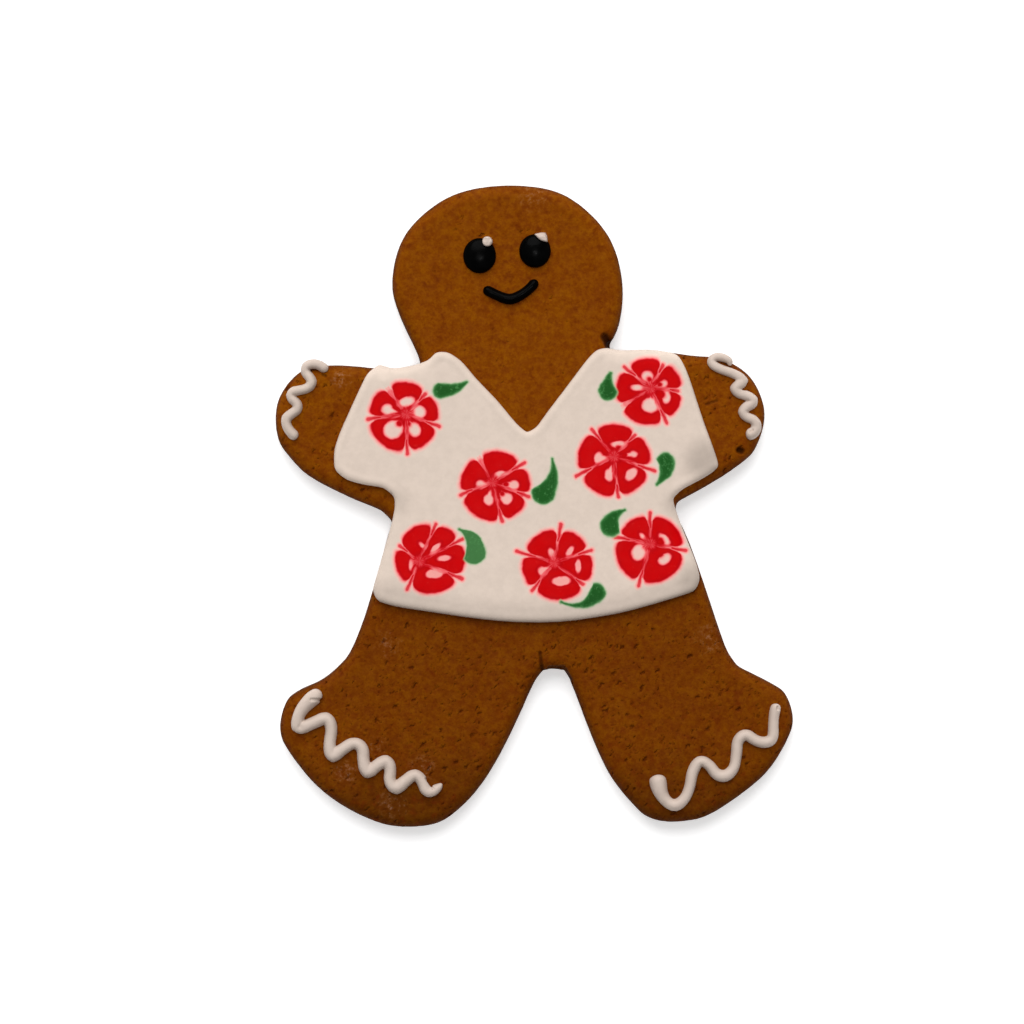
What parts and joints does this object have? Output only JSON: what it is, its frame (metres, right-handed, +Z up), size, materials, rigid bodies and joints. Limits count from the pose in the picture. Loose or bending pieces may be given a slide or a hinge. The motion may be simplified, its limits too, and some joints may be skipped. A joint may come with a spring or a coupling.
{
  "type": "gingerbread man cookie",
  "caption": "Flat rolled gingerbread figure lying face up, with an icing shirt and piped icing eyes, smile and zigzag trims.",
  "frame": {"origin": "on the flat underside, at the middle of the figure's box", "axes": "+Z up, away from the underside, +Y towards the head, +X to the right as seen from above with the head up"},
  "size_m": [0.1209, 0.1501, 0.0095],
  "materials": {
    "dough": "matt baked gingerbread, finely pitted",
    "patterned_icing": "satin white icing with red flowers and green leaves drawn into it while wet",
    "white_icing": "satin piped white icing",
    "black_icing": "glossy black icing"
  },
  "bodies": {
    "root": {"cookie": "dough", "shirt_icing": "patterned_icing", "eye_left": "black_icing", "eye_right": "black_icing", "smile": "black_icing", "eye_glint_left": "white_icing", "eye_glint_right": "white_icing", "zigzag_hand_left": "white_icing", "zigzag_hand_right": "white_icing", "zigzag_foot_left": "white_icing", "zigzag_foot_right": "white_icing"}
  },
  "joints": []
}
